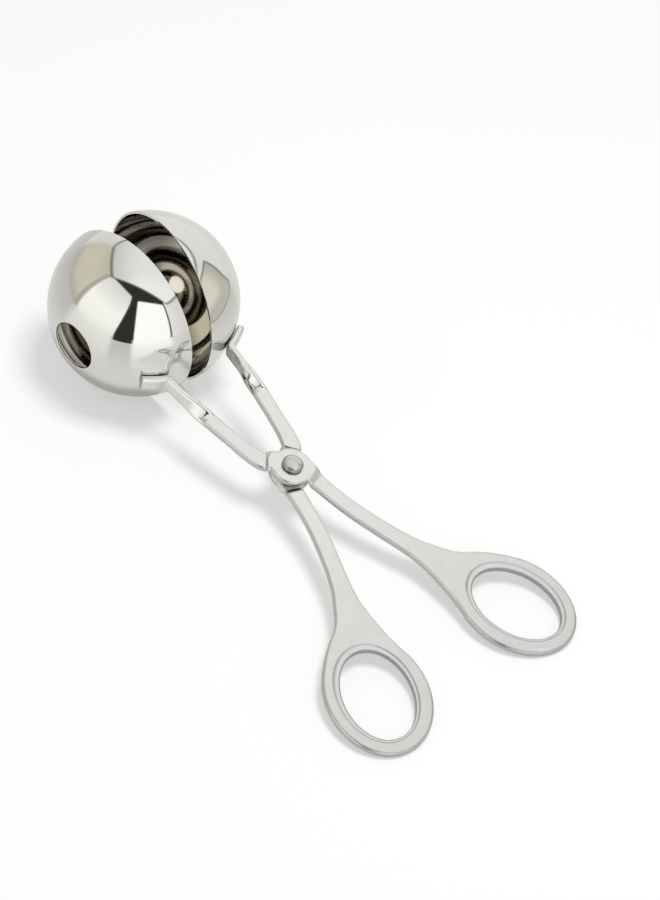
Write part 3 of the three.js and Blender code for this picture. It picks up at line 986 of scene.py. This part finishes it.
BACK_TONES = ((-180, 0.8), (0, 0.96), (20, 0.84), (84, 0.88), (120, 0.92), (180, 0.8))
CORNER, CORNER_END, CORNER_FOOT = (0.84, 0.79, 0.70), (0.56, 0.53, 0.47), (0.62, 0.585, 0.52)
CORNER_SPAN, CORNER_TOP = (30, 81, 2.5), (1.0, 1.0, 2.2, 0.2)
CORNER_FALL, CORNER_FOOT_FALL = (55, 80), (0.12, -0.02)
LEFT_TONES = ((-0.1, 0.52), (0.03, 0.56), (0.2, 0.66), (0.55, 0.68), (0.8, 0.6))
LEFT_FOOT, LEFT_FOOT_FALL, LEFT_STARTS = (0.54, 0.54, 0.525), (0.0, 0.17), (-118, 174, 4.0)
SEAM, SEAM_SPAN = (0.5, 0.48, 0.42), (-131, -125, 1.5)
ROOM_SPAN = (-124, 2.2, 0.8)
LEFT_PANEL, LEFT_PANEL_TOP = (-124, -40, 1.6), (-0.05, -1.0, 0.59, 0.03)
LEFT_PANEL_TONES = ((-0.1, 0.94), (0.0, 1.02), (0.2, 1.14), (0.45, 1.17), (0.7, 1.0), (0.85, 0.86))
GAP_HEIGHTS, GAP_BEARINGS, GAP_SOFT = (0.05, 0.71), (-68.0, -57.5), 1.4
RIGHT_PANEL, RIGHT_PANEL_TOP = (-43.8, 0.0, 1.2), (0.72, -0.70, 0.84, 0.03)
RIGHT_PANEL_TONE = (1.24, 1.24, 1.21)
OVERHEAD, OVERHEAD_END = (0.467, -1.0, 0.431, 0.035), (0.665, 0.747, -0.69, 0.09)
OVERHEAD_NEAR = (0.60, 0.68)
OVERHEAD_LEAN, OVERHEAD_SPAN = (0.77, -0.64), (-0.1, 0.45)
OVERHEAD_TONES = (0.95, 0.955, 0.935), (1.07, 1.07, 1.05)
OVERHEAD_FALL, OVERHEAD_DULL = (0.665, 0.747, -0.30, 0.4), (0.72, 0.72, 0.70)
OUTLINE = 0.75  # strength of the thin dark line where a panel's edge is

BOWLS_AT = 0.058  # how far behind the origin the bowls stand
BOARD_GRAIN, BOARD_GRAIN_SHARE, BOARD_GREY = 900.0, 0.02, (0.9, 0.9, 0.9)
BOARD_IN_METAL, BOARD_NEAR = (0.80, 0.80, 0.775), (0.75, 0.75, 0.725)
BOARD_WHITE = (1.0, 1.0, 0.998)
BEYOND_BOARD = (
    (-180, 0.58), (-130, 0.6), (-120, 0.97), (-72, 1.02), (-66, 0.62), (-48, 0.62), (-43, 1.28),
    (-3, 1.25), (3, 0.86), (40, 0.7), (76, 0.62), (84, 0.86), (130, 0.86), (180, 0.58),
)
SPREAD_FROM, SPREAD_POWER = 0.035, 0.75
ARMS_ALONG, ARMS_ACROSS = ((0.05, 0.065), (0.145, 0.165)), (0.042, 0.056)  # under the arms
BOARD_EDGE, EDGE_FALL, EDGE_LINE_SHARE = (0.574, 0.819), (0.145, 0.185), 2.4
BOARD_EDGE_LINE, EDGE_BEARINGS = (0.2, 0.19, 0.17), ((32, 38), (78.5, 83.5))
GAP_FOOT_AWAY, GAP_FOOT_BEARINGS = (0.36, 0.40), ((-69.5, -66.5), (-46.5, -43.5))
LIFT_AWAY = (0.17, 0.55)
MIRRORED_AWAY, MIRRORED_SHARES, ARMS_SHARES = (0.025, 0.10), (0.2, 1.0), (0.2, 1.0)

DISH_AT = (-0.034, 0.0495, 0.0)  # where the lower bowl's lowest point comes at full opening
FLOOR_RADIUS = 4.0


def studio_world(studio):
    """Soft panels all round for polished steel: side panels, one overhead, walls in between."""
    world = bpy.data.worlds.new("studio")
    bpy.context.scene.world = world
    world.use_nodes = True
    nodes = Nodes(world.node_tree)
    way = nodes.add("ShaderNodeTexCoord").outputs["Generated"]
    x, y, z = nodes.axes(way)
    turn = nodes.bearing(x, y)
    up = nodes.math("MAXIMUM", z, NEVER_LEVEL)
    flat_x, flat_y = nodes.math("DIVIDE", x, up), nodes.math("DIVIDE", y, up)

    def above(a, b, c, softness):
        """1 where the way looks over an edge, at a x + b y < c."""
        value = nodes.slope(flat_x, flat_y, a, b)
        return nodes.soft(value, c - softness, c + softness, 1.0, 0.0)

    def between(low, high, softness):
        rise, fall = (low - softness, low + softness), (high - softness, high + softness)
        return nodes.window(turn, rise, fall, "SMOOTHSTEP")

    def outlined(share, tone, panel):
        """A panel laid over the tone, with a thin darker line where its edge is."""
        tone = nodes.mix(share, tone, panel)
        # The line is strongest where the panel's share is a half.
        return nodes.mix(nodes.product(nodes.without(share, share), 4.0, OUTLINE), tone, EDGE_LINE)

    # The back wall is pale, with a beige corner at its right end that darkens into its edges.
    tone = nodes.stops(turn, *ROUND, BACK_TONES, PALE)
    corner = nodes.mix(nodes.soft(turn, *CORNER_FALL), CORNER, CORNER_END)
    corner = nodes.mix(nodes.ramp(z, *CORNER_FOOT_FALL), corner, CORNER_FOOT)
    tone = outlined(nodes.without(between(*CORNER_SPAN), above(*CORNER_TOP)), tone, corner)
    # The left wall is beige, darker towards the board, and ends in a seam.
    left = nodes.stops(z, *HEIGHTS, LEFT_TONES, BEIGE)
    left = nodes.mix(nodes.ramp(z, *LEFT_FOOT_FALL), LEFT_FOOT, left)
    tone = nodes.mix(between(*LEFT_STARTS), left, tone)
    tone = nodes.mix(between(*SEAM_SPAN), tone, SEAM)
    # Dark room behind two side panels, each up to its own top edge, with the camera's gap between.
    tone = nodes.mix(between(*ROOM_SPAN), tone, DARK)
    over_left, over_right = above(*LEFT_PANEL_TOP), above(*RIGHT_PANEL_TOP)
    past_gap = nodes.math("SUBTRACT", turn, nodes.ramp(z, *GAP_HEIGHTS, *GAP_BEARINGS))
    before_gap = nodes.soft(past_gap, -GAP_SOFT, GAP_SOFT, 1.0, 0.0)
    left_panel = nodes.without(nodes.product(between(*LEFT_PANEL), before_gap), over_left)
    tone = nodes.mix(left_panel, tone, nodes.stops(z, *HEIGHTS, LEFT_PANEL_TONES, WARM))
    tone = nodes.mix(nodes.without(between(*RIGHT_PANEL), over_right), tone, RIGHT_PANEL_TONE)
    # The overhead panel has a straight edge on the camera's side, and a left end that darkens.
    over = nodes.without(above(*OVERHEAD), above(*OVERHEAD_END))
    panel = nodes.mix(
        nodes.soft(nodes.slope(x, y, *OVERHEAD_LEAN), *OVERHEAD_SPAN), *OVERHEAD_TONES
    )
    panel = nodes.mix(above(*OVERHEAD_FALL), panel, OVERHEAD_DULL)
    tone = outlined(nodes.product(over, nodes.soft(z, *OVERHEAD_NEAR)), tone, panel)

    camera, seen = nodes.rays()
    light = nodes.mix(seen, shaded(SKY_TINT, studio.sky), tone)
    light = nodes.mix(camera, light, WHITE)
    background = nodes.add("ShaderNodeBackground", {"Color": light, "Strength": 1.0})
    nodes.add("ShaderNodeOutputWorld", {"Surface": background})
    return world


def floor_material(studio):
    """Pale matt board. For metal it glows with a painted reflection: a little greyer, and the wall
    past the board's edge.
    """
    material = new_material("pale floor")
    nodes = Nodes(material.node_tree)
    place = nodes.add("ShaderNodeTexCoord").outputs["Object"]
    x, y, _ = nodes.axes(place)
    camera, seen = nodes.rays()
    grain = nodes.noise(place, BOARD_GRAIN, detail=3.0, roughness=0.6)
    grain = nodes.product(nodes.ramp(grain, *WIDE), BOARD_GRAIN_SHARE)
    white = nodes.mix(grain, studio.floor_colour[:], BOARD_GREY)
    matt = nodes.add("ShaderNodeBsdfDiffuse", {"Color": nodes.mix(seen, white, BOARD_IN_METAL)})
    # Places on the board as the bowls see them: how far away, and in which direction.
    x = nodes.math("ADD", x, BOWLS_AT)
    away, turn = nodes.radius(x, y), nodes.bearing(x, y)
    # Painted reflection: metal sees the far part of the board glow with whatever stands beyond it,
    # but not under the arms.
    far = nodes.stops(turn, *ROUND, BEYOND_BOARD, WARM)
    across = nodes.ramp(nodes.math("ABSOLUTE", y), *ARMS_ACROSS, 1.0, 0.0)
    clear = nodes.math("SUBTRACT", 1.0, nodes.product(nodes.window(x, *ARMS_ALONG), across))
    near = nodes.math("POWER", nodes.math("DIVIDE", SPREAD_FROM, away), SPREAD_POWER)
    spread = nodes.product(nodes.math("SUBTRACT", 1.0, near), clear)
    level = nodes.mix(nodes.math("MAXIMUM", spread, 0.0), BOARD_NEAR, far)
    # Past the board's edges, a painted reflection of the foot of the beige corner behind, and of
    # the camera's gap in front.
    past = nodes.product(
        nodes.soft(nodes.slope(x, y, *BOARD_EDGE), *EDGE_FALL),
        nodes.window(turn, *EDGE_BEARINGS, "SMOOTHSTEP"),
    )
    line = nodes.product(nodes.without(past, past), EDGE_LINE_SHARE)
    level = nodes.mix(line, nodes.mix(past, level, CORNER_FOOT), BOARD_EDGE_LINE)
    foot = nodes.product(nodes.ramp(away, *GAP_FOOT_AWAY), nodes.window(turn, *GAP_FOOT_BEARINGS))
    level = nodes.mix(foot, level, DARK)
    light = nodes.mix(seen, BOARD_WHITE, level)
    glow = nodes.add("ShaderNodeEmission", {"Color": light, "Strength": 1.0})
    # The camera sees the board lifted a little towards white, and all white far away.
    share = nodes.product(camera, nodes.ramp(away, *LIFT_AWAY, studio.lift, 1.0))
    mirrored = nodes.product(
        nodes.ramp(away, *MIRRORED_AWAY, *MIRRORED_SHARES),
        nodes.ramp(clear, 0.0, 1.0, *ARMS_SHARES),
    )
    share = nodes.raised(share, (seen, mirrored))
    shader = nodes.add("ShaderNodeMixShader", {0: share, 1: matt, 2: glow})
    nodes.add("ShaderNodeOutputMaterial", {"Surface": shader})
    return material


class SCOOP_OT_stage(bpy.types.Operator):
    """Lay the floor, hang the soft lights and set up the camera"""

    bl_idname = "scoop.stage"
    bl_label = "Set Stage"

    def execute(self, context):
        scene, studio = context.scene, context.scene.scoop_studio
        scene.view_settings.view_transform = "Standard"
        # The hinge leans, so the lower bowl swings 4 mm below the table at full opening. A shallow
        # dish in the floor leaves it room, and ends before the places where the scoop rests.
        steps = 32
        shares = [i / steps for i in range(steps + 1)]
        rows = [(studio.dish_radius * t, studio.dish_depth * (eased(t) - 1)) for t in shares]
        floor = turned("floor", rows + [(FLOOR_RADIUS, 0.0)], segments=96)
        floor.data.transform(Matrix.Translation(DISH_AT))
        floor.data.shade_smooth()
        floor.data.materials.append(floor_material(studio))
        studio_world(studio)

        lamp = bpy.data.lights.new("soft key", "AREA")
        lamp.shape = "SQUARE"
        lamp.size = studio.key_size
        lamp.energy = studio.key_power
        key = bpy.data.objects.new("soft key", lamp)
        turn, rise, away = radians(33), radians(82.5), 0.75
        aim = Vector((cos(turn) * cos(rise), sin(turn) * cos(rise), sin(rise)))
        key.location = aim * away
        key.rotation_mode = "QUATERNION"
        key.rotation_quaternion = aim.to_track_quat("Z", "Y")
        key.visible_glossy = False
        scene.collection.objects.link(key)

        view = bpy.data.cameras.new("camera")
        view.lens = studio.lens
        view.sensor_width = 36.0
        view.clip_start, view.clip_end = 0.01, 20.0
        camera = bpy.data.objects.new("camera", view)
        place = Matrix.Translation((0.27122, -0.30946, 0.45879))
        right = Vector((0.66207, 0.73684, 0.13682))
        upward = Vector((-0.60880, 0.42238, 0.67152))
        back = right.cross(upward).normalized()
        camera.matrix_world = place @ Matrix((right, upward, back)).transposed().to_4x4()
        scene.collection.objects.link(camera)
        scene.camera = camera
        return {"FINISHED"}


class SCOOP_PT_panel(bpy.types.Panel):
    """Lists the steps and the sizes"""

    bl_idname = "SCOOP_PT_panel"
    bl_label = "Meatball Scoop"
    bl_space_type = "VIEW_3D"
    bl_region_type = "UI"
    bl_category = "Scoop"

    def draw(self, context):
        for step in STEPS:
            self.layout.operator(step.bl_idname)
        for name, kind in GROUPS.items():
            box = self.layout.box()
            box.label(text=kind.__doc__)
            for field in kind.__annotations__:
                box.prop(getattr(context.scene, name), field)


GROUPS = {
    "scoop_arm": ScoopArmSizes,
    "scoop_bowl": ScoopBowlSizes,
    "scoop_rivet": ScoopRivetSizes,
    "scoop_finishes": ScoopFinishes,
    "scoop_studio": ScoopStudio,
}
STEPS = (SCOOP_OT_arms, SCOOP_OT_bowls, SCOOP_OT_rivet, SCOOP_OT_stage)
CLASSES = (*GROUPS.values(), *STEPS, SCOOP_PT_panel)


def register():
    for kind in CLASSES:
        bpy.utils.register_class(kind)
    for name, kind in GROUPS.items():
        setattr(bpy.types.Scene, name, PointerProperty(type=kind))


def unregister():
    for name in GROUPS:
        delattr(bpy.types.Scene, name)
    for kind in reversed(CLASSES):
        bpy.utils.unregister_class(kind)


def main():
    register()
    bpy.ops.scoop.arms()
    bpy.ops.scoop.bowls()
    bpy.ops.scoop.rivet()
    bpy.ops.scoop.stage()


if __name__ == "__main__":
    main()
